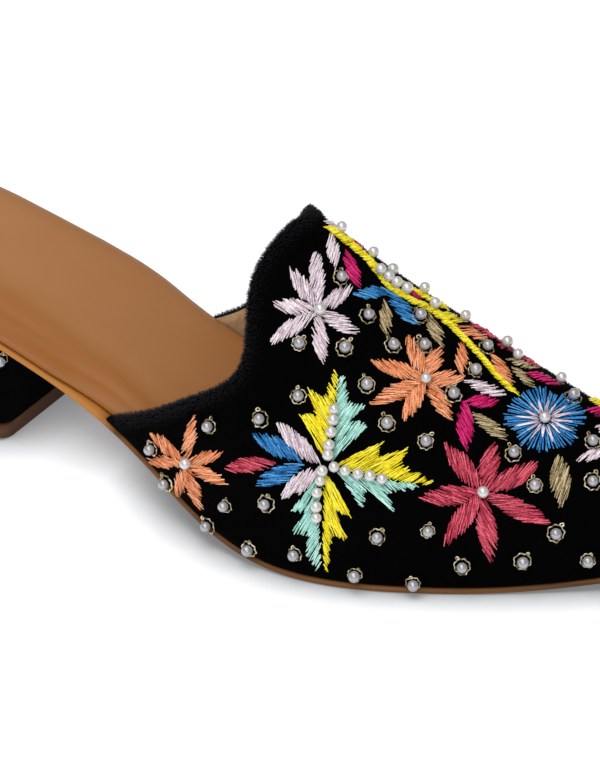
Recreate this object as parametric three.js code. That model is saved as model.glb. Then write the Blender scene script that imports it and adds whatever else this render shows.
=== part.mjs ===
// A backless mule for the right foot: a velvet upper over the forefoot, a padded leather footbed,
// a thin leather outsole that runs from toe to heel, and a covered block heel on a leather lift.
//
// Millimetres. X runs from heel to toe, Y from the outer (little toe) side to the inner side,
// Z up from the floor. While a piece is made, "along" is the distance from the back of the heel.

import * as THREE from "three";
import { mergeVertices } from "three/addons/utils/BufferGeometryUtils.js";

// Driving dimensions
const SHOE_LENGTH = 250;
const BALL_WIDTH = 86;
const BACK_HEIGHT = 44.4; // floor to the underside of the outsole at the back of the heel
const INSTEP_HEIGHT = 78; // floor to the vamp's ridge at half the length
const TREAD_START = 150; // the outsole lies flat on the floor between these two distances
const TREAD_END = 190;
const TOE_SPRING = 7; // rise of the toe's tip off the floor

// Wall and layer thicknesses
const OUTSOLE_THICKNESS = 1.5;
const UPPER_WALL = 2;
const LIFT_THICKNESS = 4.5;
const SEAM_GAP = 0.3; // glue line between neighbouring pieces

// Edges and margins
const SOLE_MARGIN = 0.4; // the outsole's edge stands this far outside the upper
const SOLE_BEVEL = 0.3; // break on the outsole's lower edge
const HEEL_ROUND = 29; // length of the round end of the heel seat
const TOE_ROUND = 19; // length of the round end of the toe, in plan
const TOE_NOSE = 24; // length over which the toe's top comes down to the sole
const UPPER_END = SHOE_LENGTH - SOLE_MARGIN;

// Footbed
const FOOTBED_AT_HEEL = 7.8; // thickness at each end
const FOOTBED_AT_TOE = 3;
const FOOTBED_EDGE = 1.2; // what is left of the thickness at the rolled edge
const ROLL_AT_HEEL = 13; // width of the rolled edge at each end
const ROLL_AT_TOE = 5;
const FOOTBED_REAR_INSET = 0.5; // from the outsole's edge, behind the upper
const FOOTBED_FRONT_INSET = SOLE_MARGIN + UPPER_WALL + SEAM_GAP; // inside the upper
const FOOTBED_STEP_IN = 18; // length over which the edge steps in ahead of the upper's tail
const FOOTBED_START = FOOTBED_REAR_INSET;
const FOOTBED_END = SHOE_LENGTH - 5;

// Outline of the outsole: the middle line's swing to the inner side and the half-width, in shares
// of the ball width, at distances from the heel in shares of the shoe's length
const OUTLINE = [
  { along: 0.0, middle: -0.045, half: 0.305 },
  { along: 0.11, middle: -0.035, half: 0.31 },
  { along: 0.22, middle: -0.025, half: 0.325 },
  { along: 0.32, middle: -0.021, half: 0.339 },
  { along: 0.4, middle: -0.063, half: 0.364 },
  { along: 0.48, middle: -0.107, half: 0.428 },
  { along: 0.56, middle: -0.117, half: 0.484 },
  { along: 0.64, middle: -0.103, half: 0.493 },
  { along: 0.72, middle: -0.081, half: 0.446 },
  { along: 0.8, middle: -0.065, half: 0.36 },
  { along: 0.88, middle: -0.043, half: 0.258 },
  { along: 0.95, middle: -0.024, half: 0.169 },
  { along: 1.0, middle: -0.01, half: 0.11 },
];

// The last's cone and vamp: ridge height in shares of the instep height, its shift from the middle
// line to the inner side in shares of the ball width, and how full the side wall and the crown are
const VAMP = [
  { along: 0.26, ridge: 1.3, shift: 0.01, wall: 0.42, crown: 0.42 },
  { along: 0.4, ridge: 1.175, shift: 0.09, wall: 0.42, crown: 0.42 },
  { along: 0.5, ridge: 1.0, shift: 0.12, wall: 0.42, crown: 0.42 },
  { along: 0.6, ridge: 0.785, shift: 0.12, wall: 0.44, crown: 0.45 },
  { along: 0.7, ridge: 0.61, shift: 0.11, wall: 0.46, crown: 0.48 },
  { along: 0.8, ridge: 0.49, shift: 0.085, wall: 0.48, crown: 0.5 },
  { along: 0.9, ridge: 0.4, shift: 0.05, wall: 0.5, crown: 0.52 },
  { along: 1.0, ridge: 0.33, shift: 0.01, wall: 0.52, crown: 0.55 },
];

// Rear edge of the upper, in shares of the shoe's length: "around" runs from 0 at the outer feather
// edge over the ridge at 0.5 to 1 at the inner feather edge
const TOPLINE = [
  { around: 0.0, edge: 0.345 },
  { around: 0.08, edge: 0.412 },
  { around: 0.14, edge: 0.456 },
  { around: 0.18, edge: 0.486 },
  { around: 0.23, edge: 0.508 },
  { around: 0.27, edge: 0.504 },
  { around: 0.32, edge: 0.496 },
  { around: 0.38, edge: 0.501 },
  { around: 0.44, edge: 0.51 },
  { around: 0.52, edge: 0.518 },
  { around: 0.6, edge: 0.508 },
  { around: 0.67, edge: 0.496 },
  { around: 0.73, edge: 0.503 },
  { around: 0.77, edge: 0.506 },
  { around: 0.82, edge: 0.485 },
  { around: 0.86, edge: 0.455 },
  { around: 0.94, edge: 0.405 },
  { around: 1.0, edge: 0.36 },
];

// Block heel
const BREAST_AT = 60; // breast of the heel where it meets the outsole
const HEEL_INSET = 0.8; // the heel block stands in from the outsole's edge
const HEEL_TAPER = 1.4; // further in at the floor, on each side
const BREAST_SLANT = 1.5; // the breast's foot lies this far behind its top
const BREAST_SKEW = 0.14; // the breast runs this much forward for each step towards the inner side
const HEEL_CORNER = 4; // rounding of the breast's two upright edges
const LIFT_LEVEL = LIFT_THICKNESS / BACK_HEIGHT; // top of the lift, as a share of the heel's height

// Fineness of the faceted pieces
const UPPER_ROWS = 40; // from topline to toe
const UPPER_COLUMNS = 40; // from feather edge to feather edge
const END_STEPS = 7;
const BODY_STEP = 8; // spacing of sections between the round ends
const ROLL_STEPS = 5;
const HEEL_LEVELS = 5;

// A natural cubic spline through one column of a table
function tableCurve(rows, column, place = "along") {
  const [x, y] = [rows.map((row) => row[place]), rows.map((row) => row[column])];
  const last = rows.length - 1;
  const [bend, carry] = [new Array(last + 1).fill(0), new Array(last + 1).fill(0)];
  for (let i = 1; i < last; i += 1) {
    const slope = (k) => (y[k + 1] - y[k]) / (x[k + 1] - x[k]);
    const span = x[i + 1] - x[i - 1];
    const share = (x[i] - x[i - 1]) / span;
    const pivot = share * bend[i - 1] + 2;
    bend[i] = (share - 1) / pivot;
    carry[i] = ((6 * (slope(i) - slope(i - 1))) / span - share * carry[i - 1]) / pivot;
  }
  for (let i = last - 1; i > 0; i -= 1) bend[i] = bend[i] * bend[i + 1] + carry[i];
  return (value) => {
    const at = THREE.MathUtils.clamp(value, x[0], x[last]);
    let i = 0;
    while (i < last - 1 && at > x[i + 1]) i += 1;
    const span = x[i + 1] - x[i];
    const [a, b] = [(x[i + 1] - at) / span, (at - x[i]) / span];
    const sag = ((a ** 3 - a) * bend[i] + (b ** 3 - b) * bend[i + 1]) * ((span * span) / 6);
    return a * y[i] + b * y[i + 1] + sag;
  };
}

const middleLine = tableCurve(OUTLINE, "middle");
const soleHalf = tableCurve(OUTLINE, "half");
const ridge = tableCurve(VAMP, "ridge");
const ridgeShift = tableCurve(VAMP, "shift");
const wallFullness = tableCurve(VAMP, "wall");
const crownFullness = tableCurve(VAMP, "crown");
const toplineEdge = tableCurve(TOPLINE, "edge", "around");

// Share of the full size at a distance from a round end: a quarter of an ellipse
function roundEnd(distance, length) {
  if (distance >= length) return 1;
  const away = 1 - Math.max(distance, 0) / length;
  return Math.sqrt(1 - away * away);
}

// The sole's two sides, with the sign of Y on each
const OUTER = -1;
const INNER = 1;

const middleAt = (along) => middleLine(along / SHOE_LENGTH) * BALL_WIDTH;

// Half-width on one side for an outline drawn "inset" inside the outsole's own, square to the edge,
// with no regard to the round ends
function bodyHalf(along, side, inset) {
  const half = (at) => soleHalf(at / SHOE_LENGTH) * BALL_WIDTH;
  const edge = (at) => half(at) + side * middleAt(at);
  const slope = (edge(along + 1) - edge(along - 1)) / 2;
  return Math.max(half(along) - inset * Math.hypot(1, slope), 0);
}

// Where the inset outline crosses a section, round ends included
function outlineY(along, side, inset = 0) {
  const ends = roundEnd(along - inset, HEEL_ROUND) * roundEnd(SHOE_LENGTH - inset - along, TOE_ROUND);
  return middleAt(along) + side * bodyHalf(along, side, inset) * ends;
}

// Height of the outsole's underside: from the heel seat through the arch to a flat tread,
// then a gentle rise to the toe
function undersideAt(along) {
  const arch = BACK_HEIGHT * THREE.MathUtils.smoothstep(TREAD_START - along, 0, TREAD_START);
  const spring = Math.max(along - TREAD_END, 0) / (SHOE_LENGTH - TREAD_END);
  return arch + TOE_SPRING * spring * spring;
}

const topsideAt = (along) => undersideAt(along) + OUTSOLE_THICKNESS;

// Distances along the shoe for the sections of a piece with a round back and a round front
function stations(from, to, backRound, frontRound) {
  const angles = Array.from({ length: END_STEPS }, (_, i) => ((i / END_STEPS) * Math.PI) / 2);
  const back = angles.map((a) => from + backRound * (1 - Math.cos(a)));
  const front = angles.map((a) => to - frontRound * (1 - Math.cos(a))).reverse();
  const [start, end] = [from + backRound, to - frontRound];
  const count = Math.round((end - start) / BODY_STEP);
  const middle = Array.from({ length: count + 1 }, (_, i) => start + ((end - start) * i) / count);
  return [...back, ...middle, ...front];
}

// A closed solid from triangles of points, with shared corners merged and flat slivers dropped
function solidGeometry(triangles) {
  const geometry = new THREE.BufferGeometry();
  const corners = triangles.flat().flatMap((p) => p.toArray());
  geometry.setAttribute("position", new THREE.Float32BufferAttribute(corners, 3));
  const merged = mergeVertices(geometry, 1e-3);
  const index = [];
  for (let i = 0; i < merged.index.count; i += 3) {
    const [a, b, c] = [0, 1, 2].map((k) => merged.index.getX(i + k));
    if (a !== b && b !== c && c !== a) index.push(a, b, c);
  }
  merged.setIndex(index);
  merged.computeVertexNormals();
  return merged;
}

const quad = (a, b, c, d) => [
  [a, b, c],
  [a, c, d],
];

// A solid through closed loops that follow each other along X; each loop runs counter-clockwise
// as seen from the toe, and starts so that its points pair off about the middle for the end caps
function loft(loops) {
  const triangles = [];
  const size = loops[0].length;
  for (let i = 0; i + 1 < loops.length; i += 1) {
    for (let k = 0; k < size; k += 1) {
      const next = (k + 1) % size;
      triangles.push(...quad(loops[i][k], loops[i][next], loops[i + 1][next], loops[i + 1][k]));
    }
  }
  const cap = (loop) => {
    const faces = [];
    for (let k = 0; k < size / 2 - 1; k += 1) {
      faces.push(...quad(loop[k], loop[k + 1], loop[size - 2 - k], loop[size - 1 - k]));
    }
    return faces;
  };
  const back = cap(loops[0]).map(([a, b, c]) => [a, c, b]);
  return solidGeometry([...back, ...triangles, ...cap(loops[loops.length - 1])]);
}

const point = (x, y, z) => new THREE.Vector3(x, y, z);

// Outsole: a leather plate with the lower edge broken all round
function outsoleGeometry() {
  const loops = stations(0, SHOE_LENGTH, HEEL_ROUND, TOE_ROUND).map((along) => {
    const [outer, inner] = [outlineY(along, OUTER), outlineY(along, INNER)];
    const [low, high] = [undersideAt(along), topsideAt(along)];
    const bevel = Math.min(SOLE_BEVEL, (inner - outer) / 2);
    return [
      point(along, inner - bevel, low),
      point(along, inner, low + SOLE_BEVEL),
      point(along, inner, high),
      point(along, outer, high),
      point(along, outer, low + SOLE_BEVEL),
      point(along, outer + bevel, low),
    ];
  });
  return loft(loops);
}

// Footbed: flush with the outsole behind the upper, inside the upper's wall in front,
// crowned across with a rolled edge that is wide at the heel and narrow at the toe
function footbedHalf(along, side) {
  const tail = toplineEdge(side === OUTER ? 0 : 1) * SHOE_LENGTH;
  const inside = THREE.MathUtils.smoothstep(along, tail - FOOTBED_STEP_IN, tail - 1);
  const inset = THREE.MathUtils.lerp(FOOTBED_REAR_INSET, FOOTBED_FRONT_INSET, inside);
  const ends = roundEnd(along - FOOTBED_START, HEEL_ROUND) * roundEnd(FOOTBED_END - along, TOE_ROUND);
  return bodyHalf(along, side, inset) * ends;
}

function footbedGeometry() {
  const steps = Array.from({ length: ROLL_STEPS + 1 }, (_, i) => ((i / ROLL_STEPS) * Math.PI) / 2);
  const between = (along, heel, toe) =>
    THREE.MathUtils.mapLinear(along, FOOTBED_START, FOOTBED_END, heel, toe);
  const loops = stations(FOOTBED_START, FOOTBED_END, HEEL_ROUND, TOE_ROUND).map((along) => {
    const low = topsideAt(along) + SEAM_GAP;
    const roll = between(along, ROLL_AT_HEEL, ROLL_AT_TOE);
    const ends = roundEnd(along - FOOTBED_START, ROLL_AT_HEEL) * roundEnd(FOOTBED_END - along, ROLL_AT_TOE);
    const crown = (between(along, FOOTBED_AT_HEEL, FOOTBED_AT_TOE) - FOOTBED_EDGE) * ends;
    const edge = (side) => {
      const half = footbedHalf(along, side);
      const foot = point(along, middleAt(along) + side * half, low);
      const rolled = steps.map((a) => {
        const across = half - Math.min(roll, half) * (1 - Math.cos(a));
        return point(along, middleAt(along) + side * across, low + FOOTBED_EDGE + crown * Math.sin(a));
      });
      return [foot, ...rolled];
    };
    return [...edge(INNER), ...edge(OUTER).reverse()];
  });
  return loft(loops);
}

// Upper: a point of the outer surface; "down" is 0 at the topline and 1 at the toe
function upperPoint(down, around) {
  const edge = toplineEdge(around) * SHOE_LENGTH;
  const along = edge + (UPPER_END - edge) * Math.sin((down * Math.PI) / 2);
  const share = along / SHOE_LENGTH;
  const side = around < 0.5 ? OUTER : INNER;
  const s = 2 * Math.min(around, 1 - around);
  const closing = roundEnd(UPPER_END - along, TOE_NOSE);
  const feather = topsideAt(along) + SEAM_GAP;
  const height = (ridge(share) * INSTEP_HEIGHT - feather) * closing;
  const foot = outlineY(along, side, SOLE_MARGIN);
  const top = middleAt(along) + ridgeShift(share) * BALL_WIDTH * roundEnd(UPPER_END - along, TOE_ROUND);
  // A Bezier half-section: upright at the feather edge and level at the ridge
  const [b0, b1] = [(1 - s) ** 3, 3 * s * (1 - s) ** 2];
  const [b2, b3] = [3 * s * s * (1 - s), s ** 3];
  const y = foot * (b0 + b1) + (top + (foot - top) * crownFullness(share)) * b2 + top * b3;
  const z = height * (wallFullness(share) * b1 + b2 + b3);
  return point(along, y, feather + z);
}

// Outward unit normal of the upper, kept level along the feather edges
function upperNormal(down, around) {
  const step = 1e-3;
  if (down >= 1) return point(1, 0, 0);
  const [d0, d1] = [Math.max(down - step, 0), Math.min(down + step, 1 - step)];
  const [a0, a1] = [Math.max(around - step, 0), Math.min(around + step, 1)];
  const forward = upperPoint(d1, around).sub(upperPoint(d0, around));
  const over = upperPoint(down, a1).sub(upperPoint(down, a0));
  const normal = over.cross(forward).multiplyScalar(-1);
  if (around <= 0 || around >= 1) normal.z = 0;
  return normal.normalize();
}

function upperGeometry() {
  const grid = (inset) =>
    Array.from({ length: UPPER_ROWS + 1 }, (_, i) =>
      Array.from({ length: UPPER_COLUMNS + 1 }, (_, k) => {
        const [down, around] = [i / UPPER_ROWS, k / UPPER_COLUMNS];
        return upperPoint(down, around).addScaledVector(upperNormal(down, around), -inset);
      }),
    );
  const [outside, inside] = [grid(0), grid(UPPER_WALL)];
  const triangles = [];
  for (let i = 0; i < UPPER_ROWS; i += 1) {
    for (let k = 0; k < UPPER_COLUMNS; k += 1) {
      const corners = (g) => [g[i][k], g[i + 1][k], g[i + 1][k + 1], g[i][k + 1]];
      triangles.push(...quad(...corners(outside)), ...quad(...corners(inside).reverse()));
    }
    for (const k of [0, UPPER_COLUMNS]) {
      const rim = [outside[i][k], inside[i][k], inside[i + 1][k], outside[i + 1][k]];
      triangles.push(...quad(...(k === 0 ? rim : rim.reverse())));
    }
  }
  for (let k = 0; k < UPPER_COLUMNS; k += 1) {
    triangles.push(...quad(outside[0][k], outside[0][k + 1], inside[0][k + 1], inside[0][k]));
  }
  return solidGeometry(triangles);
}

// Heel: a section from back to breast, with its corners at the given levels; level 0 is at the floor
// and 1 at the seat, and the inner end of the breast lies further forward than the outer end
function heelLoop(share, levels) {
  const corner = (side, { level, height }) => {
    const inset = HEEL_INSET + HEEL_TAPER * (1 - level);
    const square = BREAST_AT - BREAST_SLANT * (1 - level);
    const front = square + BREAST_SKEW * side * bodyHalf(square, side, inset);
    const along = inset + (front - inset) * share;
    const cut = HEEL_CORNER * (1 - roundEnd(front - along, HEEL_CORNER));
    const half = side * (outlineY(along, side, inset) - middleAt(along)) - cut;
    return point(along, middleAt(along) + side * Math.max(half, 0), height(along));
  };
  const inner = levels.map((level) => corner(INNER, level));
  const outer = levels.map((level) => corner(OUTER, level));
  return [...inner, ...outer.reverse()];
}

// Shares from back to breast, close together at the round back and at the breast's corners
function heelShares() {
  const places = stations(0, BREAST_AT, HEEL_ROUND, HEEL_CORNER);
  return places.map((along) => along / BREAST_AT);
}

function heelGeometry() {
  const floor = LIFT_THICKNESS + SEAM_GAP;
  const levels = Array.from({ length: HEEL_LEVELS }, (_, i) => {
    const rise = i / (HEEL_LEVELS - 1);
    return {
      level: THREE.MathUtils.lerp(LIFT_LEVEL, 1, rise),
      height: (along) => THREE.MathUtils.lerp(floor, undersideAt(along) - SEAM_GAP, rise),
    };
  });
  return loft(heelShares().map((share) => heelLoop(share, levels)));
}

function liftGeometry() {
  const levels = [
    { level: 0, height: () => 0 },
    { level: LIFT_LEVEL, height: () => LIFT_THICKNESS },
  ];
  return loft(heelShares().map((share) => heelLoop(share, levels)));
}

// Finishes
const FOOTBED_LEATHER = { color: 0xa9784f, roughness: 0.5, metalness: 0 };
const SOLE_LEATHER = { color: 0xb07a45, roughness: 0.65, metalness: 0 };
const LIFT_LEATHER = { color: 0x6f4c33, roughness: 0.6, metalness: 0 };
const VELVET = { color: 0x0b0b0d, roughness: 0.95, metalness: 0 };

function piece(name, geometry, finish) {
  const mesh = new THREE.Mesh(geometry, new THREE.MeshStandardMaterial(finish));
  mesh.name = name;
  return mesh;
}

const shoe = new THREE.Group();
shoe.add(
  piece("outsole", outsoleGeometry(), SOLE_LEATHER),
  piece("insole", footbedGeometry(), FOOTBED_LEATHER),
  piece("upper", upperGeometry(), VELVET),
  piece("heel", heelGeometry(), VELVET),
  piece("heel_lift", liftGeometry(), LIFT_LEATHER),
);

// The origin lies on the floor under the middle of the shoe's box
const box = new THREE.Box3().setFromObject(shoe);
const middle = box.getCenter(new THREE.Vector3());
shoe.position.set(-middle.x, -middle.y, -box.min.z);

const mule = new THREE.Group();
mule.add(shoe);

export default mule;
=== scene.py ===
# %% [markdown]
# # An embroidered velvet mule
#
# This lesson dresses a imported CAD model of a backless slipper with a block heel. The CAD model
# gives the true shapes: a hollow upper, a padded footbed, a thin outsole, the heel and its lift.
# Blender adds what the eye sees up close: velvet pile, flowers in satin stitch, pearls in rings of
# gold wire, and leather with a grain. Everything is in metres, in the CAD model's own frame.

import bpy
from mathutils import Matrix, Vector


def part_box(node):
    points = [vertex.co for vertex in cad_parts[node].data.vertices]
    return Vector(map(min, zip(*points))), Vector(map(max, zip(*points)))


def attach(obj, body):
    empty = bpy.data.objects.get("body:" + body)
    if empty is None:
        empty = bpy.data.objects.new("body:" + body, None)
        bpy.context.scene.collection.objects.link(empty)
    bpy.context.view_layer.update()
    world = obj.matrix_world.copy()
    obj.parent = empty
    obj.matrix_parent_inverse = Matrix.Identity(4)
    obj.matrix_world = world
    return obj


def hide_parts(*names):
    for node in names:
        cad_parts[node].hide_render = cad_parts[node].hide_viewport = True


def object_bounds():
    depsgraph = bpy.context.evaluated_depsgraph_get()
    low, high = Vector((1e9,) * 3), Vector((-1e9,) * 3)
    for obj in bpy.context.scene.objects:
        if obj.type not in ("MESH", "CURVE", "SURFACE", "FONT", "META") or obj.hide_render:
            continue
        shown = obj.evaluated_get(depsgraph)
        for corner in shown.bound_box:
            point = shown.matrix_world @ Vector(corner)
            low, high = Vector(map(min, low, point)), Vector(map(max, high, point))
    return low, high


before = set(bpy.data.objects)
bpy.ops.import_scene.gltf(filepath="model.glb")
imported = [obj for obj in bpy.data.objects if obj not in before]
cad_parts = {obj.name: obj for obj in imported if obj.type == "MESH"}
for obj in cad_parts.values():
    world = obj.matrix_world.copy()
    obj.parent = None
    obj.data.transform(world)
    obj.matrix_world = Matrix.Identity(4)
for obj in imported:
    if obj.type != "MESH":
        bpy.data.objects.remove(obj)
cad_low, cad_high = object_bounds()
print("CAD box in metres:", [round(v, 4) for v in cad_high - cad_low])

# %% Libraries
import math
import random
from collections import namedtuple

import bmesh
import bpy
from mathutils import Vector
from mathutils.bvhtree import BVHTree
from mathutils.kdtree import KDTree

MM = 0.001
scene = bpy.context.scene
chance = random.Random(7)

# %% [markdown]
# ## The camera
#
# The photograph was taken with a long lens from above the little-toe side, and its frame cuts off
# the heel and the toe. A camera that far away keeps its lines almost parallel, so the angles were
# found from the outline of the sole and the scale from the shoe's length. The same numbers later
# tell where each stitch lies: a pixel of the photograph is a line of sight into the model.

# %% Camera
PHOTO_WIDTH = 600  # pixels
PHOTO_HEIGHT = 767
PIXELS_PER_MM = 3.857  # at the aim point
AZIMUTH = math.radians(24.5)
ELEVATION = math.radians(33.8)
EYE_DISTANCE = 1400 * MM
AIM = Vector((6.6, 0.8, 28.5)) * MM

to_eye = Vector((
    math.sin(AZIMUTH) * math.cos(ELEVATION),
    -math.cos(AZIMUTH) * math.cos(ELEVATION),
    math.sin(ELEVATION),
))
eye = AIM + to_eye * EYE_DISTANCE
focal_pixels = PIXELS_PER_MM * EYE_DISTANCE / MM
eye_turn = to_eye.to_track_quat("Z", "Y")
view_right = eye_turn @ Vector((1, 0, 0))
view_up = eye_turn @ Vector((0, 1, 0))

camera = bpy.data.objects.new("photo_camera", bpy.data.cameras.new("photo_camera"))
camera.data.sensor_fit = "HORIZONTAL"
camera.data.lens = camera.data.sensor_width * focal_pixels / PHOTO_WIDTH
camera.location = eye
camera.rotation_euler = eye_turn.to_euler()
scene.collection.objects.link(camera)
scene.camera = camera
print("lens in millimetres:", round(camera.data.lens, 1))


def sight_line(pixel):
    """The direction in which the camera sees a pixel of the photograph."""
    across = (pixel.x - PHOTO_WIDTH / 2) / focal_pixels
    down = (pixel.y - PHOTO_HEIGHT / 2) / focal_pixels
    return (view_right * across - view_up * down - to_eye).normalized()


def pixel_of(place):
    """Where the photograph shows a point."""
    away = place - eye
    reach = focal_pixels / -away.dot(to_eye)
    across = PHOTO_WIDTH / 2 + away.dot(view_right) * reach
    return Vector((across, PHOTO_HEIGHT / 2 - away.dot(view_up) * reach))


# %% [markdown]
# ## Small helpers for node trees
#
# Materials and Geometry Nodes are both made of nodes with sockets. One helper adds a node, sets its
# options and fills its sockets, with a number or with a link, so that a tree reads as a list. The
# others wrap the nodes that are needed again and again, and hand on what comes out of them.

# %% Node helpers
def node(tree, kind, sockets=None, **options):
    """Add a node; each socket takes a value or a link from another node's output."""
    made = tree.nodes.new(kind)
    for name, value in options.items():
        setattr(made, name, value)
    for key, value in (sockets or {}).items():
        if isinstance(value, bpy.types.NodeSocket):
            tree.links.new(value, made.inputs[key])
        else:
            made.inputs[key].default_value = value
    return made


def calc(tree, operation, first, second=0.0):
    """The result of reckoning with one or two numbers or links."""
    sockets = {0: first, 1: second}
    return node(tree, "ShaderNodeMath", sockets, operation=operation).outputs["Value"]


def vector_calc(tree, operation, first, second):
    """The result of reckoning with two vectors; only SCALE takes a number as its second."""
    sockets = {0: first, "Scale" if operation == "SCALE" else 1: second}
    return node(tree, "ShaderNodeVectorMath", sockets, operation=operation).outputs["Vector"]


def spread(tree, amount, low, high):
    """An amount from 0 to 1, stretched to run from low to high."""
    sockets = {"Value": amount, "To Min": low, "To Max": high}
    return node(tree, "ShaderNodeMapRange", sockets).outputs["Result"]


# %% Material helpers
def paint(code):
    """A colour from its web code, in the linear values that a shader works with."""
    shares = [int(code[i : i + 2], 16) / 255 for i in (0, 2, 4)]
    linear = [s / 12.92 if s <= 0.04045 else ((s + 0.055) / 1.055) ** 2.4 for s in shares]
    return (*linear, 1.0)


def new_finish(name, sockets):
    """A material with one shader, whose plain sockets are set here."""
    material = bpy.data.materials.new(name)
    material.use_nodes = True
    shader = material.node_tree.nodes["Principled BSDF"]
    for socket, value in sockets.items():
        shader.inputs[socket].default_value = value
    return material, material.node_tree, shader


def object_place(tree):
    """The shaded point's place in the object's own frame."""
    return node(tree, "ShaderNodeTexCoord").outputs["Object"]


def stored(tree, label):
    """A number that the mesh stores on its points."""
    return node(tree, "ShaderNodeAttribute", attribute_name=label).outputs["Fac"]


def noise(tree, scale, detail=3.0, stretch=(1, 1, 1)):
    """A cloudy pattern fixed to the object; scale counts its blotches in a metre."""
    mapped = node(tree, "ShaderNodeMapping", {"Vector": object_place(tree), "Scale": stretch})
    sockets = {"Vector": mapped.outputs["Vector"], "Scale": scale, "Detail": detail}
    return node(tree, "ShaderNodeTexNoise", sockets).outputs["Fac"]


def tint(tree, shader, amount, stops):
    """Colour the shader by an amount from 0 to 1, through colours at given stops."""
    ramp = node(tree, "ShaderNodeValToRGB", {"Fac": amount})
    elements = ramp.color_ramp.elements
    while len(elements) < len(stops):
        elements.new(1.0)
    for element, (position, code) in zip(elements, stops):
        element.position = position
        element.color = paint(code)
    tree.links.new(ramp.outputs["Color"], shader.inputs["Base Color"])


def relief(tree, shader, height, depth, strength=1.0):
    """Raise and lower the surface by a pattern, to a depth in metres, without moving any vertex."""
    bump = node(tree, "ShaderNodeBump", {"Height": height, "Distance": depth, "Strength": strength})
    tree.links.new(bump.outputs["Normal"], shader.inputs["Normal"])


def gloss(tree, shader, amount, low, high):
    """Let the roughness wander between two values with a pattern."""
    tree.links.new(spread(tree, amount, low, high), shader.inputs["Roughness"])


# %% [markdown]
# ## The leathers
#
# Three leathers meet at the sole. The footbed is a smooth, lightly glossy calf with a fine pebble
# grain; over the rolled edge and towards the toe its colour is deepened by painted shade.
# The outsole is plain vegetable leather cut across its fibres, so its edge shows streaks along the
# cut, and below the upper that edge is painted dark with shade. The heel's lift is stacked and darker
# still. The upper's lining is pale and matt. Pictures of leather could be laid over the pieces, but
# they show seams and blur up close. Patterns that fill space do neither, so a Voronoi pattern gives
# the pebbles and noise the rest.

# %% Leathers
UPPER_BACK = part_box("upper")[0].x
SHADE_FADE = 4 * MM  # the painted shade on the edge fades in this far before and behind the upper's back end


def footbed_leather():
    material, tree, shader = new_finish("footbed_leather", {
        "Specular IOR Level": 0.28,
        "Coat Weight": 0.05,
        "Coat Roughness": 0.35,
    })
    cloud = noise(tree, scale=28, detail=4.0)
    # Painted shade: the stored mark deepens the colour over the rolled edge and towards the toe.
    tone = calc(tree, "ADD", stored(tree, "painted_shade"), spread(tree, cloud, low=-0.12, high=0.12))
    tint(tree, shader, tone, [(0.05, "a67349"), (0.35, "97612e"), (1.0, "8e541d")])
    pebbles = node(tree, "ShaderNodeTexVoronoi", {"Vector": object_place(tree), "Scale": 1900})
    grain = calc(tree, "ADD", pebbles.outputs["Distance"], noise(tree, scale=5200, detail=2.0))
    relief(tree, shader, grain, depth=0.04 * MM, strength=0.35)
    gloss(tree, shader, cloud, low=0.42, high=0.58)
    return material


def edge_leather(name, front, back, streaks):
    """Leather seen at its cut edge: streaked along the edge, and darker below the upper with painted shade.
    """
    material, tree, shader = new_finish(name, {"Specular IOR Level": 0.3})
    layers = noise(tree, scale=60, detail=5.0, stretch=streaks)
    along = node(tree, "ShaderNodeSeparateXYZ", {"Vector": object_place(tree)}).outputs["X"]
    # Painted shade: the edge darkens in front of the upper's back end, where the upper and the floor shade
    # it.
    shade_under_upper = node(tree, "ShaderNodeMapRange", {
        "Value": along,
        "From Min": UPPER_BACK - SHADE_FADE,
        "From Max": UPPER_BACK + SHADE_FADE,
        "To Min": -0.7,
        "To Max": 0.3,
    })
    tone = calc(tree, "SUBTRACT", layers, shade_under_upper.outputs["Result"])
    tint(tree, shader, tone, [(0.0, front), (1.0, back)])
    relief(tree, shader, layers, depth=0.15 * MM, strength=0.5)
    gloss(tree, shader, layers, low=0.5, high=0.75)
    return material


def lining_leather():
    material, tree, shader = new_finish("lining_leather", {"Specular IOR Level": 0.2})
    nap = noise(tree, scale=900, detail=4.0)
    tint(tree, shader, nap, [(0.25, "a6865f"), (0.75, "c2a17a")])
    relief(tree, shader, nap, depth=0.05 * MM, strength=0.5)
    gloss(tree, shader, nap, low=0.7, high=0.9)
    return material


FOOTBED_LEATHER = footbed_leather()
SOLE_LEATHER = edge_leather("sole_leather", front="432910", back="ad6f2d", streaks=(0.3, 0.3, 9))
LIFT_LEATHER = edge_leather("lift_leather", front="3f2517", back="553520", streaks=(0.2, 0.2, 14))
LINING_LEATHER = lining_leather()
print("leathers:", [m.name for m in (FOOTBED_LEATHER, SOLE_LEATHER, LIFT_LEATHER, LINING_LEATHER)])


# %% [markdown]
# ## Velvet, thread, pearl and wire
#
# Velvet is black because its pile swallows light; only fibres that lean at a grazing angle shine.
# The cloth below the pile gets a faint sheen, and the fibres themselves are real geometry later on,
# with a painted sheen that makes them lighter where they stand thickest. Silk thread is glossy along
# its length, so each thread is a thin strand; a value stored on every thread makes neighbours differ
# a little and paints the low padding darker as painted shade, and a fine pattern paints glints along it.
# Pearls reflect a little like metal below a clear coat, and carry a tone of their own; pearls on thread are
# painted lighter than pearls in rings, as painted light.

# %% Velvet
def velvet(name, dark, light):
    material, tree, shader = new_finish(name, {
        "Specular IOR Level": 0.04,
        "Sheen Weight": 0.03,
        "Sheen Roughness": 0.35,
        "Sheen Tint": paint("6c6c74"),
    })
    # Painted sheen: the pile is painted lighter where it stands thicker, most of all near the rim.
    tint(tree, shader, stored(tree, "pile"), [(0.3, dark), (1.0, light)])
    relief(tree, shader, noise(tree, scale=3500, detail=2.0), depth=0.3 * MM, strength=0.6)
    gloss(tree, shader, noise(tree, scale=90), low=0.85, high=1.0)
    return material


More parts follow.
